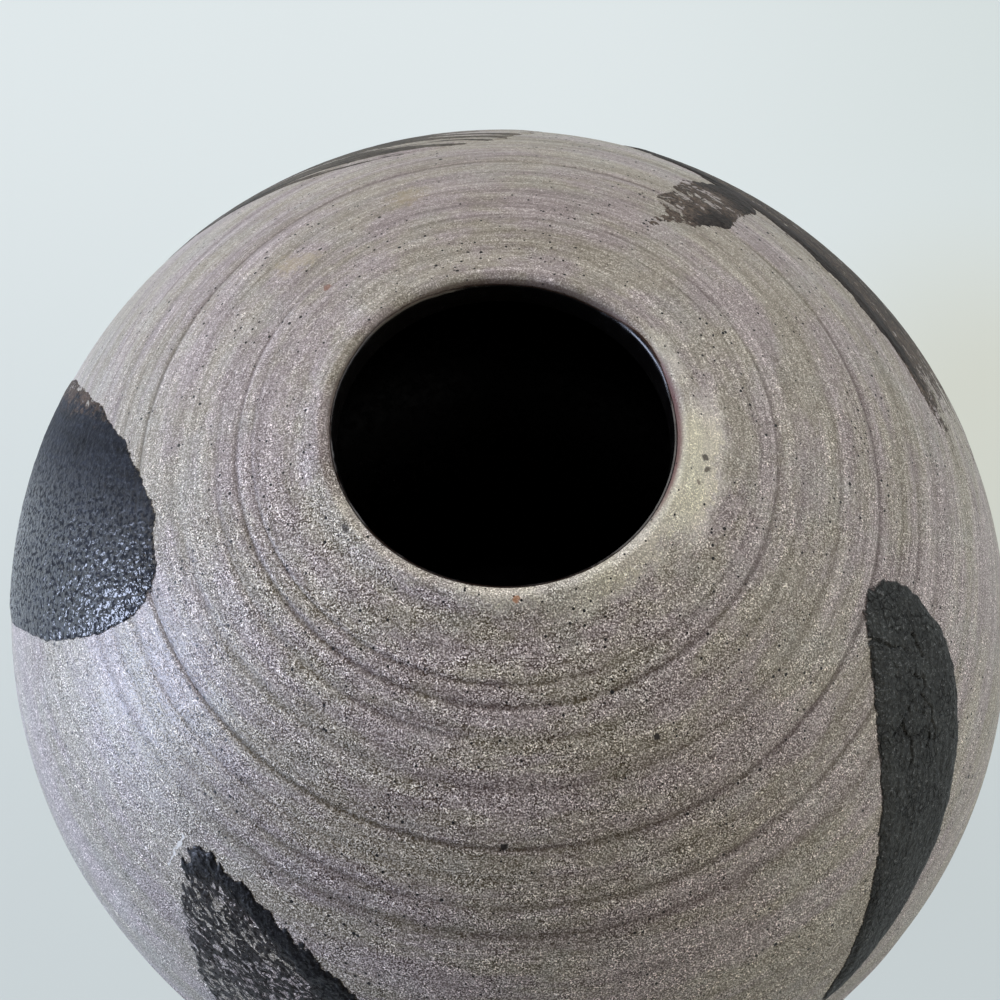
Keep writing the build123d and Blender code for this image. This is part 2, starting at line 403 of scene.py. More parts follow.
def make_lower_bowl():
    """Lower bowl: trimmed outside, keyed rim, plain inside, and the seat that the foot is let into."""
    section = Section()
    root = foot_inner - foot_draft
    seat_top = foot_height + foot_seat
    floor_height = foot_height + floor_thickness
    section.path(
        [(pole_radius, foot_height), (root, foot_height), (root, seat_top), (foot_outer, seat_top),
         (foot_outer, foot_height), (base_radius, foot_height)],
        6.0,
    )
    base_edge = tilt_at_height(foot_height)
    rim_tilt = tilt_at_height(joint_height - slip_gap / 2)
    section.skin(np.linspace(base_edge, rim_tilt, 84), base_relief)
    section.path(rim_points(-slip_gap / 2)[::-1][1:], joint_spacing)
    inner_floor = tilt_at_height(floor_height, wall)
    section.skin(np.linspace(rim_tilt, inner_floor, 16), inset=wall)
    section.line((body_curve(inner_floor, -wall)[0], floor_height), (pole_radius, floor_height), 40.0)
    return section.piece("lower_bowl_clay", closed=False)


def make_foot():
    """Foot ring, with worn round edges on its standing face."""
    section = Section(foot_columns)
    top = foot_height + foot_seat
    section.line((foot_outer, top), (foot_outer, foot_round), 1.5)
    section.arc((foot_outer - foot_round, foot_round), foot_round, 0.0, -math.pi / 2, 0.3)
    section.line((foot_outer - foot_round, 0.0), (foot_inner + foot_round, 0.0), 1.5)
    section.arc((foot_inner + foot_round, foot_round), foot_round, -math.pi / 2, -math.pi, 0.3)
    section.path([(foot_inner, foot_round), (foot_inner - foot_draft, foot_height),
                  (foot_inner - foot_draft, top), (foot_outer, top)], 1.5)
    return section.piece("foot_ring_clay")


def seam_rise(turn, height):
    """How far the smoothed seam stands off the belly. Its edges run in just under the clay."""
    part = np.clip((height - joint_height) / (ridge_height / 2), -1, 1)
    wave = 1 + 0.35 * round_noise(turn, 0 * turn, 40, 21)
    return ridge_rise * (1 - part**2) * wave - 0.15 * part**2


def make_seam():
    """Seam slip between the keyed rims, with the low smoothed ridge that it leaves on the belly."""
    section = Section()
    section.path(rim_points(-slip_gap / 2), joint_spacing)
    for height in joint_height + ridge_height / 2 * np.linspace(-1, 1, 15):
        section.row(belly_radius + seam_rise(section.turn, height), height)
    section.path(rim_points(slip_gap / 2)[::-1] + [rim_points(-slip_gap / 2)[0]], joint_spacing)
    return section.piece("seam_slip_clay")


def lip_relief(turn, tilt):
    """The shoulder's rise to the lip, with a little waver, on top of the rings."""
    radius = body_curve(tilt)[0]
    crest = mouth_radius + lip_radius
    rise = lip_rise * smooth_step(lip_blend - radius, 0.0, lip_blend - crest)
    waver = 0.12 * round_noise(turn, radius / 6.0, 16, 31)
    return rise + waver + shoulder_relief(turn, tilt)


def make_collar():
    """Mouth collar: smooth shoulder, rounded lip, short throat and the bevel that beds it."""
    section = Section()
    outer_joint = tilt_at_radius(collar_radius)
    lip_middle = mouth_radius + lip_radius
    crest_tilt = tilt_at_radius(lip_middle + lip_radius * math.cos(tilt_at_radius(lip_middle)))
    section.skin(np.linspace(outer_joint, crest_tilt, 56), lip_relief)
    crest_radius, crest_height = section.radius[-1], section.height[-1]
    inner_joint = tilt_at_radius(collar_radius - scarf, wall)
    throat_tilt = tilt_at_radius(mouth_radius, wall)
    throat_height = float(body_curve(throat_tilt, -wall)[1])
    # the lip rolls in from the crest, about a centre straight below the crest's own normal
    centre = (crest_radius - lip_radius * math.cos(crest_tilt),
              crest_height - lip_radius * math.sin(crest_tilt))
    for angle in np.linspace(crest_tilt, math.pi, 24)[1:]:
        section.swing(centre, lip_radius, angle, smooth_step(angle, math.pi * 0.56, math.pi * 0.82))
    edge_radius, edge_height = section.radius[-1], section.height[-1]
    for part in np.linspace(0, 1, 9)[1:]:
        section.row(edge_radius + (mouth_radius - edge_radius) * part,
                    edge_height + (throat_height - edge_height) * part, lip=1.0)
    section.skin(np.linspace(throat_tilt, inner_joint, 8)[1:], inset=wall)
    return section.piece("mouth_collar_clay")


def coil_line(skin):
    """The inner coil's section with a skin over it, from below to above."""
    bed, half = belly_radius - wall - skin, coil_height / 2 + skin
    crest = bed - coil_thickness
    low, high = joint_height - half, joint_height + half
    return [(bed, low), (crest, low + coil_smear), (crest, high - coil_smear), (bed, high)]


def liner_side(section, skin):
    """The liner's face from the floor over the coil up to the throat, drawn in by a skin."""
    floor_height = foot_height + floor_thickness + skin
    inset = wall + skin
    coil = coil_line(skin)
    inner_floor = tilt_at_height(floor_height, inset)
    below, above = tilt_at_height(coil[0][1], inset), tilt_at_height(coil[-1][1])
    floor_end = float(body_curve(inner_floor, -inset)[0])
    section.line((pole_radius, floor_height), (floor_end, floor_height), 20.0)
    section.skin(np.linspace(inner_floor, below, 14, endpoint=False), inset=inset)
    section.path(coil, 2.0)
    section.skin(np.linspace(above, tilt_at_radius(mouth_radius - skin, inset), 18), inset=inset)


def make_liner():
    """Black liner glaze: a skin inside the jar that laps raggedly over the lip's inner edge."""
    section = Section()
    turn = section.turn
    lip_middle = mouth_radius + lip_radius
    centre = (lip_middle, float(body_curve(tilt_at_radius(lip_middle), lip_rise)[1]) - lip_radius)
    liner_side(section, glaze)
    # the glaze laps furthest at the back right, less far at the back left and hardly on the right
    lap = 0.16 + 0.12 * round_noise(turn, 0 * turn, 60, 41) + 0.1 * round_noise(turn, 0 * turn, 9, 43, 1)
    lap = (lap + 0.4 * hump(turn, 2.35, 0.5)) * (1 - 0.8 * hump(turn, 0.0, 0.8))
    lap = lap + 0.95 * hump(turn, 0.58, 0.26)
    for part in np.linspace(0, 1, 10):
        angle = math.pi - np.clip(lap, 0.05, 1.15) * part
        bend = lip_radius + 0.28 * (1 - part) - 0.12 * part
        section.swing(centre, bend, angle, part)
    back = Section()
    liner_side(back, 0.0)
    for radius, height in zip(back.radius[::-1], back.height[::-1]):
        section.row(radius, height)
    return section.piece("liner_glaze_skin", closed=False)


# Dabs of dark slip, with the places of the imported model's dabs. The edges follow the photo a little closer.

Dab = namedtuple("Dab", "turn height length width lean taper bow")
dabs = {
    "dab_left": Dab(174.0, 39.0, 178.0, 71.0, -25.5, 0.07, -6.0),
    "dab_front": Dab(-110.0, 30.0, 140.0, 62.0, 35.5, -0.39, 5.5),
    "dab_right": Dab(-40.5, 72.5, 118.0, 30.0, -42.0, 0.56, 11.0),
    "dab_back_right": Dab(38.0, 75.0, 152.0, 52.0, -90.0, 0.13, 12.0),
    "dab_back_left": Dab(117.0, 57.0, 142.0, 70.0, -113.5, -0.3, 2.0),
}
Lobe = namedtuple("Lobe", "side along width length")
lobes = {
    "dab_back_right": [
        Lobe(-41.0, 30.5, 27.0, 19.0),
        Lobe(-27.0, 34.0, 32.0, 20.0),
        Lobe(-56.0, 30.0, 12.0, 3.0),
    ],
    "dab_front": [Lobe(1.0, 66.3, 10.0, 9.6)],
}
dab_bluntness = 0.9
dab_margin = 5.0
dab_step = 0.46
dab_coarse = 6  # cells of a dab's face to one cell of its underside
dab_border = (-0.6, 0.5)  # how far in from its edge the slip starts and is whole
dab_sunk = 0.3  # how far a bare stretch of a dab's sheet lies below the clay's face
groove_fill = 0.75  # share of a throwing ring's depth that the slip fills
dab_bed = 0.9  # how far the underside lies below the clay's face


def dab_frame(dab):
    """Middle, sideways, lengthways and outward directions of a dab's plane."""
    turn = math.radians(dab.turn)
    tilt = tilt_at_height(seam_height + dab.height)
    radius, height = body_curve(tilt)
    normal = outward(turn, tilt)
    around = np.array([-math.sin(turn), math.cos(turn), 0.0])
    upward = np.cross(normal, around)
    lean = math.radians(dab.lean)
    sideways = around * math.cos(lean) + upward * math.sin(lean)
    return round_point(radius, turn, height), sideways, np.cross(normal, sideways), normal


def body_gap(points):
    """Distance of points from the body's curve, and the bearing and tilt of the nearest place on it."""
    turn = np.arctan2(points[..., 1], points[..., 0])
    radius = np.hypot(points[..., 0], points[..., 1])
    height = points[..., 2] - seam_height
    upper = height >= 0
    bend = np.where(upper, shoulder_bend, base_bend)
    tilt = np.arctan2(height, radius - (belly_radius - bend))
    flat = np.abs(tilt) > change
    pole_height = np.where(upper, height + shoulder_setback, height - base_setback)
    tilt = np.where(flat, np.arctan2(pole_height, radius), tilt)
    flat_gap = np.hypot(radius, pole_height) - np.where(upper, shoulder_pole, base_pole)
    bent_gap = np.hypot(radius - (belly_radius - bend), height) - bend
    return np.where(flat, flat_gap, bent_gap), turn, tilt


def on_body(dab, side, along):
    """Bearing and tilt of the place on the body that lies below each point of a dab's plane."""
    middle, sideways, lengthways, normal = dab_frame(dab)
    points = middle + side[..., None] * sideways + along[..., None] * lengthways
    for _ in range(12):
        gap, turn, tilt = body_gap(points)
        slope = np.clip(outward(turn, tilt) @ normal, 0.3, None)
        points = points - (gap / slope)[..., None] * normal
    return turn, tilt


def inside(name, side, along):
    """How far inside a dab's outline a point of its plane lies, and its place along and across the dab."""
    dab = dabs[name]
    part = 2 * along / dab.length
    part = np.sign(part) * np.abs(part) ** (1 / dab_bluntness)
    half_width = dab.width / 2 * (1 + dab.taper * np.clip(part, -1, 1))
    off = (side - dab.bow * (1 - part**2)) / half_width
    slope = 2 * np.hypot(2 * part / dab.length, off / half_width)
    depth = (1 - part**2 - off**2) / np.hypot(slope, 1 / half_width)
    for lobe in lobes.get(name, []):
        wide, long = lobe.width / 2, lobe.length / 2
        level = ((side - lobe.side) / wide) ** 2 + ((along - lobe.along) / long) ** 2
        depth = np.maximum(depth, (1 - level) * long / 2)
    return depth, part, off


# How each dab was brushed. thick is the slip's depth, and lumpy is how far that varies. ragged is how far the
# edge strays, in teeth of a breadth and a length. bristle and sweep are the breadth and length of the brush's
# lines, which run off the dab's length by slant, in degrees. fleck is the share of short flecks.
Brush = namedtuple("Brush", "seed thick ragged teeth bristle sweep fleck lumpy slant")
brushes = {
    "dab_left": Brush(101, 0.5, 0.4, (1.2, 1.5), 2.4, 18.0, 0.7, 0.12, 0.0),
    "dab_front": Brush(202, 0.55, 1.4, (1.3, 1.8), 2.0, 7.0, 0.85, 0.35, 31.0),
    "dab_right": Brush(303, 0.9, 0.45, (1.6, 2.4), 1.6, 14.0, 0.5, 0.16, 0.0),
    "dab_back_right": Brush(404, 0.45, 1.6, (1.6, 7.0), 3.0, 34.0, 0.5, 0.12, 0.0),
    "dab_back_left": Brush(505, 0.4, 1.4, (2.0, 9.0), 4.0, 60.0, 0.1, 0.12, 0.0),
}


def dryness(name, part, off, side, along, depth):
    """How dry the brush was, from 0 for a full brush to 1 for bare clay, at places in a dab."""
    if name == "dab_left":
        return 0.03 + 0.38 * smooth_step(-side, 25.0, 40.0)
    if name == "dab_front":
        reach = np.sqrt(np.clip(1 - part**2, 0, 1)) - off
        band = np.minimum(reach * 17.0, (1 - part) * 60.0)
        return 0.16 + 0.31 * smooth_step(band, 2.5, 7.0)
    if name == "dab_right":
        return 0.04 + 0.3 * smooth_step(-along, 2.0, 30.0) * smooth_step(off, 0.1, 0.8)
    if name == "dab_back_right":
        lobe = smooth_step(-side, 18.0, 30.0) * smooth_step(along, 8.0, 20.0)
        chocolate = hump(side, -42.0, 8.0) * hump(along, 23.5, 5.0)
        tail = smooth_step(-along, 18.0, 76.0)
        inner = hump(depth, 2.5, 2.5) * (1 - tail) * (1 - lobe)
        return 0.38 + 0.1 * lobe + 0.38 * tail - 0.36 * chocolate - 0.3 * inner
    return 0.38 + 0.2 * smooth_step(-along, 20.0, 70.0)


# Shrinkage cracks in the thickest dab, as runs of points on its plane
cracks = [
    [(5.2, 30.5), (2.2, 27.5), (0.2, 25.0), (2.0, 21.8), (6.0, 21.0), (9.6, 23.0)],
    [(3.6, 21.2), (4.4, 17.5), (4.2, 13.5)],
    [(8.0, 31.5), (9.8, 29.0), (12.0, 27.6), (12.6, 24.0), (11.0, 22.6), (11.4, 19.2), (9.6, 17.0)],
    [(6.0, 46.0), (7.4, 43.0), (9.8, 39.8)],
    [(0.2, 25.0), (-3.4, 22.4)],
    [(9.8, 29.0), (8.2, 26.2)],
    [(-9.5, 46.4), (-5.5, 45.2), (-2.3, 43.9), (1.5, 43.4), (4.4, 41.8)],
    [(5.4, 36.4), (7.6, 34.8), (9.4, 35.6), (9.8, 33.0), (8.0, 31.5)],
    [(12.6, 24.0), (14.0, 21.6), (13.2, 18.6)],
]
crack_depth = 0.75
crack_width = 0.36


def crack_gap(side, along):
    """Distance of places on the thick dab's plane from its cracks, with a little waver."""
    side = side + 0.5 * layered_noise(side / 1.7, along / 1.7, 61, 2)
    along = along + 0.5 * layered_noise(side / 1.7, along / 1.7, 67, 2)
    nearest = np.full(side.shape, 9.0)
    for run in cracks:
        for (side_a, along_a), (side_b, along_b) in zip(run[:-1], run[1:]):
            step = np.array([side_b - side_a, along_b - along_a])
            part = ((side - side_a) * step[0] + (along - along_a) * step[1]) / (step @ step)
            part = np.clip(part, 0, 1)
            gap = np.hypot(side - side_a - part * step[0], along - along_a - part * step[1])
            nearest = np.minimum(nearest, gap)
    return nearest


def slanted(name, side, along):
    """Places on a dab's plane, measured across and along the brush's lines."""
    slant = math.radians(brushes[name].slant)
    return side * math.cos(slant) + along * math.sin(slant), along * math.cos(slant) - side * math.sin(slant)


def brushed_slip(name, side, along):
    """Depth of the slip at points of a dab's plane, how far they lie in from its edge, and how dry it is."""
    brush = brushes[name]
    depth_in, part, off = inside(name, side, along)
    broad, long = brush.teeth
    edge = depth_in + brush.ragged * layered_noise(side / broad, along / long, brush.seed, 3)
    edge = edge + 0.9 * layered_noise(side / 8.0, along / 11.0, brush.seed + 7, 2)
    dry = np.clip(dryness(name, part, off, side, along, depth_in), 0, 1)
    across, lengthwise = slanted(name, side, along)
    lines = layered_noise(across / brush.bristle, lengthwise / brush.sweep, brush.seed + 10, 3)
    lumps = layered_noise(side / 1.3, along / 1.6, brush.seed + 20, 2)
    cover = smooth_step(edge, *dab_border)
    full = smooth_step(edge, 0.0, 3.0)
    depth = brush.thick * (0.4 + 0.6 * full) * (1 - 0.7 * dry) * (1 + 0.15 * lines + brush.lumpy * lumps)
    if name == "dab_right":
        depth = depth - crack_depth * (1 - smooth_step(crack_gap(side, along), 0.1, crack_width))
    return depth * cover - dab_sunk * (1 - cover), edge, dry


def dab_grid(name):
    """Places on a dab's plane that cover it with a margin, in whole coarse cells."""
    dab = dabs[name]
    reach = dab.width / 2 * (1 + abs(dab.taper)) + dab_margin
    low_side, high_side = min(0, dab.bow) - reach, max(0, dab.bow) + reach
    for lobe in lobes.get(name, []):
        low_side = min(low_side, lobe.side - lobe.width / 2 - dab_margin)
    half_length = dab.length / 2 + dab_margin

    def steps(low, high):
        cells = math.ceil((high - low) / dab_step / dab_coarse)
        return np.linspace(low, high, 1 + dab_coarse * cells)

    return np.meshgrid(steps(low_side, high_side), steps(-half_length, half_length))


def sheet_faces(number, low):
    """Faces of a closed sheet between a fine grid of points and a coarse one below it."""
    faces = quads(number[:-1, :-1], number[:-1, 1:], number[1:, 1:], number[1:, :-1])
    faces += quads(low[:-1, :-1], low[1:, :-1], low[1:, 1:], low[:-1, 1:])
    # the rim joins each coarse edge of the underside to the fine edge of the face above it
    for fine_run, low_run in ((number[0], low[0]), (number[:, -1], low[:, -1]),
                              (number[-1, ::-1], low[-1, ::-1]), (number[::-1, 0], low[::-1, 0])):
        for cell in range(len(low_run) - 1):
            run = fine_run[cell * dab_coarse:(cell + 1) * dab_coarse + 1]
            faces.append([int(low_run[cell]), int(low_run[cell + 1]), *run[::-1].tolist()])
    return faces


def make_dab(name):
    """One dab as a closed sheet: the brushed face above, and a coarser underside sunk in the clay."""
    side, along = dab_grid(name)
    turn, tilt = on_body(dabs[name], side, along)
    depth, edge, dry = brushed_slip(name, side, along)
    relief = np.where(tilt >= 0, shoulder_relief(turn, tilt), base_relief(turn, tilt))
    relief = relief + np.clip(seam_rise(turn, body_curve(tilt)[1]), 0, None)
    grooves = np.where(tilt >= 0, ring_depth(turn, body_curve(tilt)[0]), 0.0)

    def lifted(lift):
        radius, height = body_curve(tilt, lift)
        return round_point(radius, turn, height)

    face = lifted(relief + depth + groove_fill * grooves * smooth_step(edge, *dab_border))
    under = lifted(relief - dab_bed)[::dab_coarse, ::dab_coarse]
    number = np.arange(side.size).reshape(side.shape)
    low = side.size + np.arange(under[..., 0].size).reshape(under.shape[:2])
    points = np.concatenate([face.reshape(-1, 3), under.reshape(-1, 3)])
    piece = add_piece(name + "_slip", points, sheet_faces(number, low), 60.0)

    def padded(values):
        return np.concatenate([values.reshape(-1), np.zeros(low.size)])

    mark(piece, "edge", padded(edge))
    mark(piece, "dry", padded(dry))
    mark(piece, "groove", padded(grooves))
    across, lengthwise = slanted(name, side, along)
    strokes = np.stack([padded(across), padded(lengthwise), padded(0 * side)], axis=-1)
    mark(piece, "stroke", strokes, "FLOAT_VECTOR")
    return piece


# Materials

def shown(red, green, blue):
    """A colour given as it shows on screen, from 0 to 255, as the linear colour that a shader takes."""
    linear = []
    for value in (red, green, blue):
        part = value / 255
        linear.append(part / 12.92 if part <= 0.04045 else ((part + 0.055) / 1.055) ** 2.4)
    return (*linear, 1.0)


class Value:
    """One output of a node, with the sums that can be made of it."""

    def __init__(self, graph, socket):
        self.graph = graph
        self.socket = socket

    def __add__(self, other):
        return self.graph.math("ADD", self, other)

    def __sub__(self, other):
        return self.graph.math("SUBTRACT", self, other)

    def __mul__(self, other):
        return self.graph.math("MULTIPLY", self, other)

    def spread(self, low, high, to_low=0.0, to_high=1.0):
        """A smooth step of this number from one range to another."""
        sockets = {"Value": self, "From Min": low, "From Max": high, "To Min": to_low, "To Max": to_high}
        return self.graph.add("MapRange", sockets, interpolation_type="SMOOTHSTEP")

    def lines(self, inner, outer, strength=1.0):
        """Thin lines where this noise crosses its middle value."""
        return self.graph.math("ABSOLUTE", self - 0.5).spread(inner, outer, strength, 0.0)

    def axis(self, letter):
        """One part of this vector."""
        return self.graph.add("SeparateXYZ", {0: self}, letter)

    def facing(self, degrees):
        """Cosine of the angle between this bearing on the jar and a given one."""
        turn = math.radians(degrees)
        return self.graph.vector("DOT_PRODUCT", self, (math.cos(turn), math.sin(turn), 0.0), output="Value")

    def sibling(self, output):
        """Another output of the same node."""
        return Value(self.graph, self.socket.node.outputs[output])


class Graph:
    """Adds nodes to a material or the world, and links or sets what they take in."""

    def __init__(self, owner):
        self.owner = owner
        owner.use_nodes = True
        self.tree = owner.node_tree
        self.tree.nodes.clear()

    def add(self, kind, inputs, output=0, **settings):
        """One output of a new node. Inputs are values or constants, by the socket's name or number."""
        node = self.tree.nodes.new("ShaderNode" + kind)
        for key, value in settings.items():
            setattr(node, key, value)
        for key, value in inputs.items():
            if isinstance(value, Value):
                self.tree.links.new(value.socket, node.inputs[key])
            else:
                node.inputs[key].default_value = value
        return Value(self, node.outputs[output])

    def math(self, operation, first, second=0.0):
        return self.add("Math", {0: first, 1: second}, operation=operation)

    def vector(self, operation, first, second=(0.0, 0.0, 0.0), third=(0.0, 0.0, 0.0), output=0):
        return self.add("VectorMath", {0: first, 1: second, 2: third}, output, operation=operation)

    def scaled(self, vector, factor):
        """A vector times a number."""
        return self.add("VectorMath", {0: vector, "Scale": factor}, operation="SCALE")

    def place(self):
        """The place on the object, in metres."""
        return self.add("TexCoord", {}, "Object")

    def attribute(self, name, output="Fac"):
        """A value that a mesh holds at its points."""
        return self.add("Attribute", {}, output, attribute_name=name)

    def noise(self, place, scale, detail=2.0, roughness=0.5, distortion=0.0, output=0):
        sockets = {"Vector": place, "Scale": scale, "Detail": detail, "Roughness": roughness,
                   "Distortion": distortion}
        return self.add("TexNoise", sockets, output)

    def largest(self, values):
        """The largest of several numbers."""
        return functools.reduce(lambda first, second: self.math("MAXIMUM", first, second), values)

    def blend(self, factor, first, second):
        """Two numbers mixed."""
        return self.add("Mix", {0: factor, 2: first, 3: second}, 0, data_type="FLOAT")

    def mix(self, factor, first, second, blend="MIX"):
        """Two colours mixed."""
        return self.add("Mix", {0: factor, 6: first, 7: second}, 2, data_type="RGBA", blend_type=blend)

    def grey(self, value):
        """A number as a grey colour."""
        return self.add("CombineColor", {0: value, 1: value, 2: value})

    def shaded(self, colour, shade):
        """A colour times a number."""
        return self.mix(1.0, colour, self.grey(shade), "MULTIPLY")

    def surface(self, look, bump_distance):
        """A shader and its bump, joined to the output."""
        normal = self.add("Bump", {"Height": look.relief, "Distance": bump_distance, "Strength": 1.0})
        sockets = {"Base Color": look.colour, "Roughness": look.roughness, "Specular IOR Level": look.shine}
        return self.end(self.add("BsdfPrincipled", {**sockets, "Normal": normal}))

    def end(self, shader, kind="OutputMaterial"):
        """Joins a shader to the output. Returns the finished material or world."""
        output = self.tree.nodes.new("ShaderNode" + kind)
        self.tree.links.new(shader.socket, output.inputs["Surface"])
        return self.owner


def new_material(name):
    """The graph of a new material."""
    return Graph(bpy.data.materials.new(name))


Look = namedtuple("Look", "colour roughness shine relief")

# Clay, as it shows on screen. It turns from a pinker to a tanner tone, with paler patches.
pink_clay, tan_clay, pale_clay = (159, 149, 147), (157, 150, 138), (163, 160, 153)
pale_thread, iron_speck = (208, 202, 192), (14, 12, 11)
clay_bump = 0.00017
front_side, crisp_side, sheen_side = -84.0, -112.0, -165.0  # bearings in degrees

# Specks of iron, dense or sparse: cells to a metre, the least draw that makes one, and its largest size
Specks = namedtuple("Specks", "scale least size")
iron_specks = [Specks(620.0, 0.45, 0.2), Specks(330.0, 0.45, 0.13), Specks(105.0, 0.62, 0.055)]

# Marks at places that the photo shows, in millimetres: size across, colour and strength
Spot = namedtuple("Spot", "place size colour strength")
black, brown, olive = (24, 20, 19), (84, 64, 50), (168, 156, 124)
spots = [
    Spot((47.1, -6.1, 273.0), 2.0, (52, 42, 34), 0.85),
    Spot((47.7, -9.1, 272.7), 1.8, (60, 48, 38), 0.8),
    Spot((45.2, -12.6, 273.0), 1.2, brown, 0.7),
    Spot((2.0, -42.4, 274.5), 2.0, (176, 112, 58), 0.75),
    Spot((-37.5, -24.9, 273.8), 2.6, (48, 42, 38), 0.8),
    Spot((34.4, -70.6, 259.9), 1.9, black, 0.95),
    Spot((-0.8, -94.2, 250.0), 2.1, black, 0.95),
    Spot((-56.5, 54.9, 259.7), 11.0, olive, 0.55),
    Spot((-51.2, 56.1, 261.3), 8.0, olive, 0.5),
    Spot((-27.1, 76.7, 258.3), 13.0, (150, 136, 108), 0.6),
    Spot((-45.3, 43.6, 267.5), 2.4, (126, 80, 62), 0.7),
]
stain_size = 5.0  # a spot that is wider than this has no sharp core
scratch_start, scratch_end = np.array([-84.7, -93.3, 219.6]), np.array([-79.5, -87.7, 228.9])
scratch_width = 0.55

# Pale ash near the mouth: bearing and half angle in degrees, radii where it fades and ends, and strength
Ash = namedtuple("Ash", "bearing half_angle full end strength")
ashes = [
    Ash(-11.0, 31.0, 0.0495, 0.0555, 1.0),
    Ash(-45.0, 40.0, 0.0462, 0.0515, 0.85),
    Ash(-93.0, 24.0, 0.0415, 0.046, 0.8),
    Ash(-140.0, 26.0, 0.0425, 0.0465, 0.45),
    Ash(24.0, 20.0, 0.0436, 0.049, 0.65),
]
ash_stray = 0.014

# A place on the jar, its bearing as a unit vector, its radius and height, and how far it faces the front
Where = namedtuple("Where", "place bearing radius height front")


def where_on_jar(graph):
    """What the looks of a place on the jar depend on."""
    place = graph.place()
    flat = graph.vector("MULTIPLY", place, (1.0, 1.0, 0.0))
    bearing = graph.vector("NORMALIZE", flat)
    radius = graph.vector("LENGTH", flat, output="Value")
    return Where(place, bearing, radius, place.axis("Z"), bearing.facing(front_side))


def ash_cover(graph, where):
    """How far pale ash covers the clay round the mouth. It is thickest on the right."""
    stray = graph.noise(where.place, 130.0, 4.0, 0.7) * ash_stray - ash_stray / 2
    wandering = where.radius + stray
    covers = []
    for ash in ashes:
        edge = math.cos(math.radians(ash.half_angle))
        near = where.bearing.facing(ash.bearing).spread(edge, 1.0, 0.0, ash.strength)
        covers.append(near * wandering.spread(ash.full, ash.end, 1.0, 0.0))
    return graph.largest(covers) * where.height.spread(0.2, 0.22)


def speck_cover(graph, place):
    """1 on the dark specks of iron and 0 beside them."""
    crowd = graph.noise(place, 48.0).spread(0.4, 0.65, 0.75, 1.3)
    dots = []
    for specks in iron_specks:
        gap = graph.add("TexVoronoi", {"Vector": place, "Scale": specks.scale}, "Distance")
        draw = graph.add("SeparateColor", {0: gap.sibling("Color")})
        dots.append(graph.math("LESS_THAN", gap, draw.spread(specks.least, 1.0, 0.0, specks.size) * crowd))
    return graph.largest(dots)


def ashy(graph, where, colour):
    """The clay's colour with the pale ash over it."""
    ash = ash_cover(graph, where)
    lift = graph.mix(ash.spread(0.55, 0.95), (1.85, 1.88, 1.85, 1.0), (1.85, 1.88, 1.66, 1.0))
    pale = graph.mix(1.0, graph.mix(0.55, colour, shown(152, 148, 142)), lift, "MULTIPLY")
    return graph.mix(ash, colour, pale)


def red_lipped(graph, where, colour):
    """The clay's colour with a redder inside of the lip."""
    lip = graph.attribute("lip")
    right = where.bearing.facing(5.0).spread(0.6, 0.95)
    rear = where.bearing.facing(100.0).spread(-0.3, 0.5, 0.0, 0.7)
    lip = graph.blend(right, lip.spread(0.6, 1.0, 0.0, rear), lip * 0.85)
    return graph.mix(lip, colour, graph.mix(right, shown(92, 78, 70), shown(112, 74, 72)))


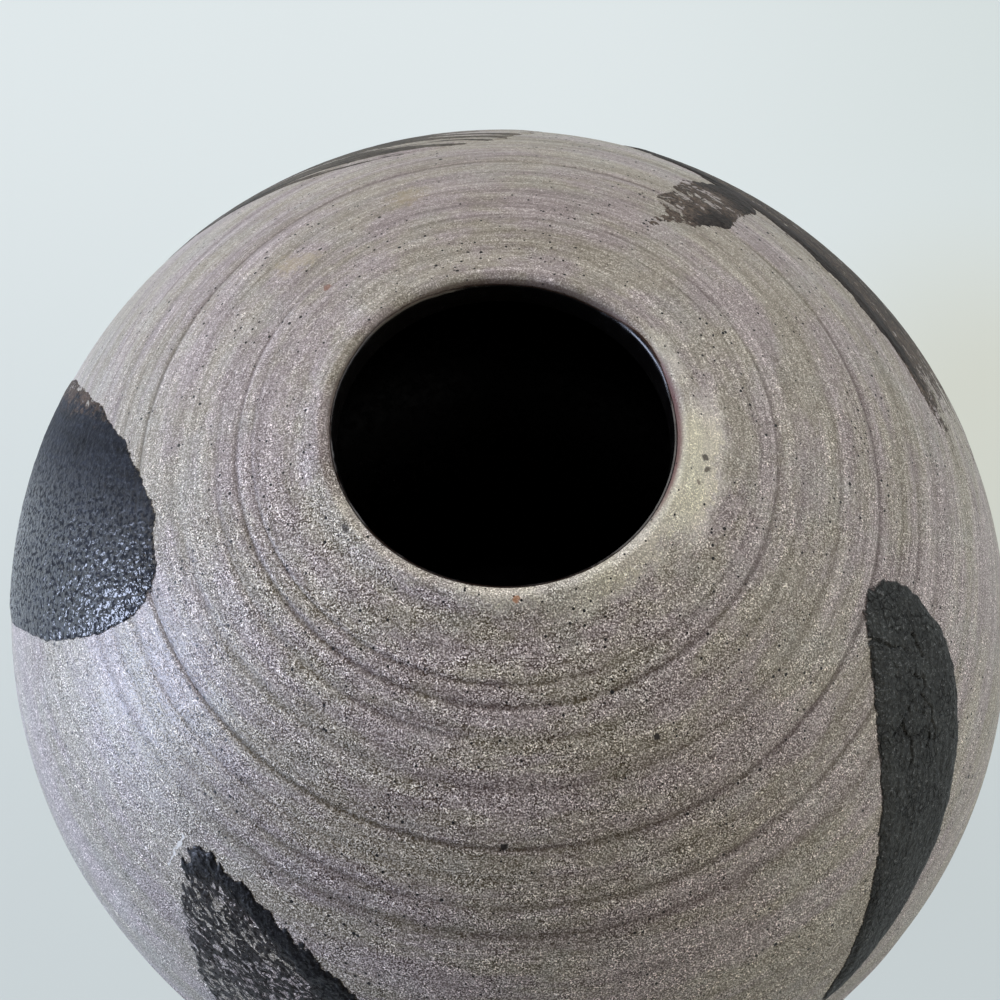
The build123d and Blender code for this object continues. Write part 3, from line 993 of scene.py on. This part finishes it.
def clay_look(graph):
    """The place on the jar, and the look of the gritty clay there."""
    where = where_on_jar(graph)
    place, front = where.place, where.front
    # the grit stands out at the front and is smoothed over towards the back
    crisp = place.axis("Y").spread(-0.03, 0.09, 1.0, 0.36)
    crisp = crisp * where.bearing.facing(crisp_side).spread(0.1, 0.85, 0.68, 1.0)
    crisp = crisp * graph.noise(place, 170.0).spread(0.35, 0.65, 0.8, 1.16)

    # streaks run round the jar: they are stretched along the bearing
    along = graph.add("CombineXYZ", {2: where.radius - where.height})
    drawn = graph.vector("MULTIPLY_ADD", where.bearing, (0.004, 0.004, 0.0), along)
    fine_streak = graph.noise(drawn, 900.0, 3.0, 0.6)
    broad_streak = graph.noise(drawn, 170.0)
    tint = graph.noise(graph.vector("MULTIPLY_ADD", where.bearing, (0.03, 0.03, 0.0), drawn), 75.0, 3.0, 0.6)
    patch = graph.noise(place, 75.0, 3.0, 0.6)
    colour = graph.mix(tint.spread(0.38, 0.62), shown(*pink_clay), shown(*tan_clay))
    colour = graph.mix(patch.spread(0.45, 0.75, 0.0, 0.5), colour, shown(*pale_clay))

    # grains, and short light and dark strokes between them
    grit = graph.noise(place, 2500.0, 0.0)
    coarse_grit = graph.noise(place, 430.0)
    light = graph.noise(place, 1150.0, 0.0, 0.5, 0.6).lines(0.02, 0.07) * grit.spread(0.45, 0.6)
    aside = graph.vector("ADD", place, (0.37, 0.11, 0.23))
    dark = graph.noise(aside, 1250.0, 0.0, 0.5, 0.6).lines(0.02, 0.07) * grit.spread(0.42, 0.56, 1.0, 0.0)
    grain = grit.spread(0.3, 0.7, 0.3, 1.58) * (light * 1.5 + 1.0) * (dark * -0.86 + 1.0)
    grain = grain * coarse_grit.spread(0.3, 0.7, 0.88, 1.12)
    # the side that faces the viewer is painted up to 13% darker: painted shade
    shade = ((grain - 1.0) * crisp + 1.0) * front.spread(0.5, 1.0, 1.0, 0.87)
    streak_low = graph.blend(where.height.spread(0.13, 0.2), 0.88, front.spread(0.1, 0.9, 0.72, 0.86))
    shade = shade * fine_streak.spread(0.32, 0.68, streak_low, 1.16)
    shade = shade * broad_streak.spread(0.3, 0.7, front.spread(0.1, 0.9, 0.87, 0.9), 1.14)
    # the grooves of the throwing rings are painted up to 60% darker with their depth: painted shade in the
    # grooves
    shade = shade * graph.attribute("groove").spread(0.01, 0.36, 1.0, 0.4)
    # towards the back the grains run together into mottles
    mottle_low, mottle_high = front.spread(-0.2, 0.5, 0.84, 1.0), front.spread(-0.2, 0.5, 1.15, 1.0)
    shade = shade * graph.noise(place, 900.0).spread(0.3, 0.7, mottle_low, mottle_high)
    # half of the grain scales the colour and half is added, so that light and dark grains are as neutral
    added = graph.mix(1.0, colour, graph.grey((shade - 1.0) * 0.25), "ADD")
    colour = graph.mix(0.5, graph.shaded(colour, shade), added)

    # a few pale threads
    thread = graph.noise(place, 500.0, 0.0, 0.5, 0.8).lines(0.006, 0.018) * coarse_grit.spread(0.56, 0.64)
    colour = graph.mix(thread * 0.55, colour, shown(*pale_thread))
    colour = red_lipped(graph, where, ashy(graph, where, colour))
    speck = speck_cover(graph, place)
    colour = graph.mix(speck, colour, shown(*iron_speck))

    # the side towards the window has more of a sheen
    sheen = where.bearing.facing(sheen_side).spread(0.55, 1.0) * where.radius.spread(0.06, 0.1)
    roughness = grit * 0.24 + (sheen * -0.08 + 0.34)
    relief = (grit + fine_streak) * 0.5 + (light - dark) * 0.35
    return place, Look(colour, roughness, sheen * 0.5 + 0.35, relief * crisp - speck * 0.8)


def flat_gap(graph, offset, on_face):
    """Length of an offset along the jar's face, at a place on it."""
    _, turn, tilt = body_gap(on_face)
    normal = tuple(outward(turn, tilt))
    return graph.vector("DISTANCE", offset, graph.vector("PROJECT", offset, normal), output="Value")


def spotted(graph, place, colour):
    """The clay's colour with the marks and the scratch that the photo shows at known places."""
    stray = graph.vector("SUBTRACT", graph.noise(place, 700.0, output="Color"), (0.5, 0.5, 0.5))

    def offset_from(point, jitter):
        astray = graph.vector("ADD", place, graph.scaled(stray, jitter))
        return graph.vector("SUBTRACT", astray, tuple(point * mm))

    for spot in spots:
        middle, size = np.array(spot.place), spot.size * mm
        gap = flat_gap(graph, offset_from(middle, 0.9 * size), middle)
        core = 0.3 * size if spot.size < stain_size else 0.0
        colour = graph.mix(gap.spread(core, 0.55 * size, spot.strength, 0.0), colour, shown(*spot.colour))
    run, width = (scratch_end - scratch_start) * mm, scratch_width * mm
    offset = offset_from(scratch_start, 0.0035)
    part = graph.vector("DOT_PRODUCT", offset, tuple(run / (run @ run)), output="Value")
    on_line = graph.scaled(tuple(run), graph.add("Clamp", {0: part}))
    gap = flat_gap(graph, graph.vector("SUBTRACT", offset, on_line), scratch_start)
    return graph.mix(gap.spread(0.3 * width, width, 0.9, 0.0), colour, shown(236, 234, 230))


def clay_material():
    """Unglazed greige stoneware."""
    graph = new_material("stoneware_clay")
    place, look = clay_look(graph)
    return graph.surface(look._replace(colour=spotted(graph, place, look.colour)), clay_bump)


# dark and thin are the colours of thick and of thin slip. lump, tooth and emboss are its relief, crackle is
# how far it has shrunk into flakes, and the last column is how strong its light specks are, partly light
# grains and partly painted glints.
# spark is the share of glassy facets, which may grow across the dab between the two places in glassy.
Slip = namedtuple("Slip", "dark thin gloss shine lump_scale lump tooth emboss crackle spark glassy glint")
slip_looks = {
    "dab_left": Slip((29, 32, 39), (74, 64, 58), 0.55, 0.07, 470.0, 2.3, 0.12, 0.3, 0.0, 1.0, (-30, 8), 0.2),
    "dab_front": Slip((15, 14, 16), (30, 25, 23), 0.55, 0.12, 520.0, 1.2, 0.5, 2.0, 0.0, 0.4, None, 0.3),
    "dab_right": Slip((41, 43, 42), (58, 51, 46), 0.55, 0.2, 560.0, 2.0, 1.6, 0.6, 1.0, 0.15, None, 0.7),
    "dab_back_right": Slip((44, 40, 38), (76, 67, 60), 0.6, 0.2, 520.0, 0.8, 0.7, 0.6, 0.0, 0.0, None, 0.0),
    "dab_back_left": Slip((44, 43, 41), (76, 71, 64), 0.6, 0.2, 520.0, 0.8, 0.7, 0.6, 0.0, 0.0, None, 0.0),
}
slip_bump = 0.00035
facet_roughness, facet_shine = 0.13, 0.6


def flake_cracks(graph, place, strength):
    """Fine cracks between the flakes that thick slip has shrunk into, here and there."""
    astray = graph.vector("ADD", place, graph.scaled(graph.noise(place, 500.0, output="Color"), 0.0016))
    gap = graph.add("TexVoronoi", {"Vector": astray, "Scale": 420.0}, "Distance", feature="DISTANCE_TO_EDGE")
    return gap.spread(0.02, 0.09, 1.0, 0.0) * graph.noise(place, 110.0).spread(0.42, 0.62, 0.0, strength)


def slip_material(name, slip):
    """Brushed slip: dark where it lies thick, brown where it is thin, bare clay where the brush missed."""
    graph = new_material(name + "_look")
    brush = brushes[name]
    place, bare = clay_look(graph)
    stroke = graph.attribute("stroke", "Vector")
    dry = graph.attribute("dry")
    line_size = (1 / brush.bristle, 1 / brush.sweep, 0.0)
    lines = graph.noise(graph.vector("MULTIPLY", stroke, line_size), 1.0, 3.0, 0.6)
    flecks = graph.noise(graph.vector("MULTIPLY", stroke, (0.46, 0.3, 0.0)), 1.0, 4.0, 0.64, 1.2)
    tooth = graph.noise(place, 1000.0, 3.0, 0.6)
    margin = graph.blend(brush.fleck, lines, flecks) - (dry * 0.62 + 0.17)
    border = graph.attribute("edge") + (tooth - 0.5) * 1.4
    wash = margin.spread(-0.02, 0.02) * border.spread(-0.2, 0.25)
    full = (margin - dry * 0.25).spread(-0.02, 0.1)

    rough = min(1.0, 0.4 + slip.tooth)
    colour = graph.mix(full, shown(*slip.thin), shown(*slip.dark))
    colour = graph.shaded(colour, graph.noise(place, 60.0, 3.0, 0.6).spread(0.3, 0.7, 0.8, 1.25))
    colour = graph.shaded(colour, tooth.spread(0.3, 0.7, 1 - 0.58 * rough, 1 + 0.7 * rough))
    colour = graph.shaded(colour, lines.spread(0.3, 0.7, 0.7, 1.4))
    # light specks painted into the slip's colour: partly light grains, partly painted glints
    glint = graph.noise(graph.vector("ADD", place, (0.19, 0.41, 0.07)), 1100.0, 0.0, 0.5, 0.6)
    glint = glint.lines(0.012, 0.05, slip.glint) * tooth.spread(0.5, 0.62)
    colour = graph.mix(glint, colour, shown(132, 134, 136))
    relief = graph.noise(place, slip.lump_scale) * slip.lump + tooth * slip.tooth + full * slip.emboss
    if slip.crackle:
        crack = flake_cracks(graph, place, slip.crackle)
        colour = graph.mix(crack * 0.7, colour, shown(12, 12, 12))
        relief = relief - crack * 1.4
    roughness = tooth.spread(0.3, 0.7, slip.gloss - 0.05, slip.gloss + 0.09)
    shine = slip.shine
    if slip.spark:
        # small glassy facets in a duller skin
        share = slip.spark
        if slip.glassy:
            share = stroke.axis("X").spread(*slip.glassy, 0.05 * slip.spark, slip.spark)
        facet = graph.noise(place, 900.0, 1.0).spread(0.39, 0.51, 0.0, share)
        roughness = graph.blend(facet, roughness, facet_roughness)
        shine = graph.blend(facet, shine, facet_shine)
    covered = Look(graph.mix(wash, bare.colour, colour), graph.blend(wash, bare.roughness, roughness),
                   graph.blend(wash, bare.shine, shine), graph.blend(wash, bare.relief, relief))
    return graph.surface(covered, slip_bump)


def liner_material():
    """Black liner glaze, glossy, and brown where it thins out over the lip."""
    graph = new_material("liner_glaze_black")
    place = graph.place()
    colour = graph.mix(graph.noise(place, 60.0, 3.0).spread(0.4, 0.7), shown(8, 7, 7), shown(10, 9, 8))
    colour = graph.mix(graph.attribute("lip").spread(0.55, 1.0), colour, shown(58, 42, 35))
    roughness = graph.noise(place, 300.0).spread(0.3, 0.7, 0.16, 0.3)
    return graph.surface(Look(colour, roughness, 0.4, graph.noise(place, 180.0)), 0.0001)


# The floor's colour is painted darker towards the near side and towards the far right: painted shade.
floor_near, floor_far, floor_right = (208, 217, 219), (224, 232, 233), (214, 223, 222)
# a painted pool of warm light on the floor to the right of the jar
painted_warm_light, warm_light_place = (211, 213, 199), (0.22, 0.12, 0.0)
floor_own_light = 0.8  # share of the floor's tone that the camera sees whatever the light on it


def floor_material():
    """Pale floor, painted darker near the camera and at the far right as painted shade, with a painted pool
    of warm light; the camera sees it at this colour, and it keeps a soft shadow.
    """
    graph = new_material("pale_floor")
    place = graph.place()
    fall = place.axis("Y")
    # painted shade: darker towards the near side, then towards the far right
    colour = graph.mix(fall.spread(-0.12, 0.34), shown(*floor_near), shown(*floor_far))
    aside = place.axis("X").spread(0.02, 0.3)
    colour = graph.mix(aside * fall.spread(0.1, 0.3), colour, shown(*floor_right))
    # painted pool of warm light to the right of the jar
    warm_light_gap = graph.vector("DISTANCE", place, warm_light_place, output="Value")
    colour = graph.mix(warm_light_gap.spread(0.03, 0.14, 0.75, 0.0), colour, shown(*painted_warm_light))
    diffuse = graph.add("BsdfDiffuse", {"Color": colour})
    glow = graph.add("Emission", {"Color": colour, "Strength": 0.98})
    own_light = graph.add("LightPath", {}, "Is Camera Ray") * floor_own_light
    return graph.end(graph.add("MixShader", {0: own_light, 1: diffuse, 2: glow}))


# The pieces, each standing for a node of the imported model

clay = clay_material()
liner = liner_material()
slips = {dab_name: slip_material(dab_name, slip) for dab_name, slip in slip_looks.items()}


def dress(piece, node, material):
    """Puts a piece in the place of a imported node."""
    piece.data.materials.append(material)
    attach(piece, "root")
    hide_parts(node)


def set_material(node, material):
    """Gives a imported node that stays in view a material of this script's."""
    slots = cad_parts[node].data.materials
    slots.clear()
    slots.append(material)


dress(make_foot(), "foot_ring", clay)
dress(make_lower_bowl(), "lower_bowl", clay)
dress(make_upper_bowl(), "upper_bowl", clay)
dress(make_seam(), "seam_slip", clay)
dress(make_collar(), "mouth_collar", clay)
for dab_name in dabs:
    dress(make_dab(dab_name), dab_name, slips[dab_name])
dress(make_liner(), "liner_glaze", liner)
set_material("seam_coil", clay)


# Floor, light and camera

floor_size = 8.0
half_floor = floor_size / 2
corner_signs = [(-1, -1), (1, -1), (1, 1), (-1, 1)]
floor_corners = [(x_sign * half_floor, y_sign * half_floor, 0) for x_sign, y_sign in corner_signs]
floor_mesh = bpy.data.meshes.new("floor")
floor_mesh.from_pydata(floor_corners, [], [(0, 1, 2, 3)])
floor = new_object("floor", floor_mesh)
floor.data.materials.append(floor_material())

scene = bpy.context.scene
scene.view_settings.view_transform = "Standard"
belly = np.array([0.0, 0.0, seam_height * mm])

room = Graph(bpy.data.worlds.new("soft_room"))
room_light = room.add("Background", {"Color": shown(232, 238, 244), "Strength": 0.02})
# beyond the floor's edge the camera sees the same pale tone as the floor's
backdrop = room.add("Background", {"Color": shown(*floor_far)})
seen = room.add("LightPath", {}, "Is Camera Ray")
scene.world = room.end(room.add("MixShader", {0: seen, 1: room_light, 2: backdrop}), "OutputWorld")


# Lights, by their bearing and their rise above the belly in degrees
Panel = namedtuple("Panel", "bearing rise distance width height power colour")
panels = {
    "window": Panel(-168.0, 10.0, 1.5, 0.6, 0.6, 18.8, (0.66, 0.75, 1.0)),
    "left_back": Panel(165.0, 15.0, 1.5, 1.2, 0.9, 4.0, (0.86, 0.92, 1.0)),
    "back_left": Panel(135.0, 45.0, 1.5, 1.2, 0.9, 14.1, (1.0, 0.97, 0.95)),
    "right_back": Panel(45.0, 40.0, 1.5, 1.2, 0.9, 9.2, (0.98, 0.98, 1.0)),
    "right_low": Panel(0.0, 25.0, 1.5, 1.2, 0.9, 6.2, (0.9, 0.96, 1.0)),
    "right_front": Panel(-45.0, 18.0, 1.5, 1.2, 0.9, 5.3, (1.0, 0.88, 0.7)),
}


def add_panel(name, panel):
    """A soft rectangular light that faces the jar."""
    lamp = bpy.data.lights.new(name, "AREA")
    lamp.shape = "RECTANGLE"
    lamp.size = panel.width
    lamp.size_y = panel.height
    lamp.energy = panel.power
    lamp.color = panel.colour
    light = new_object(name, lamp)
    direction = outward(math.radians(panel.bearing), math.radians(panel.rise))
    light.location = belly + direction * panel.distance
    light.rotation_euler = Vector(direction).to_track_quat("Z", "Y").to_euler()


for panel_name, panel in panels.items():
    add_panel(panel_name, panel)

camera_rise = math.radians(67.46)
camera_distance = 0.49992
camera_aside = -0.0017
camera_up = 0.03234
lens = bpy.data.cameras.new("camera")
lens.sensor_width = 36.0
lens.lens = 57.6
lens.clip_start = 0.01
camera = new_object("camera", lens)
back_way = np.array([0.0, -math.cos(camera_rise), math.sin(camera_rise)])
up_way = np.array([0.0, math.sin(camera_rise), math.cos(camera_rise)])
camera.location = belly + back_way * camera_distance + up_way * camera_up + np.array([camera_aside, 0.0, 0.0])
camera.rotation_euler = (math.pi / 2 - camera_rise, 0.0, 0.0)
scene.camera = camera
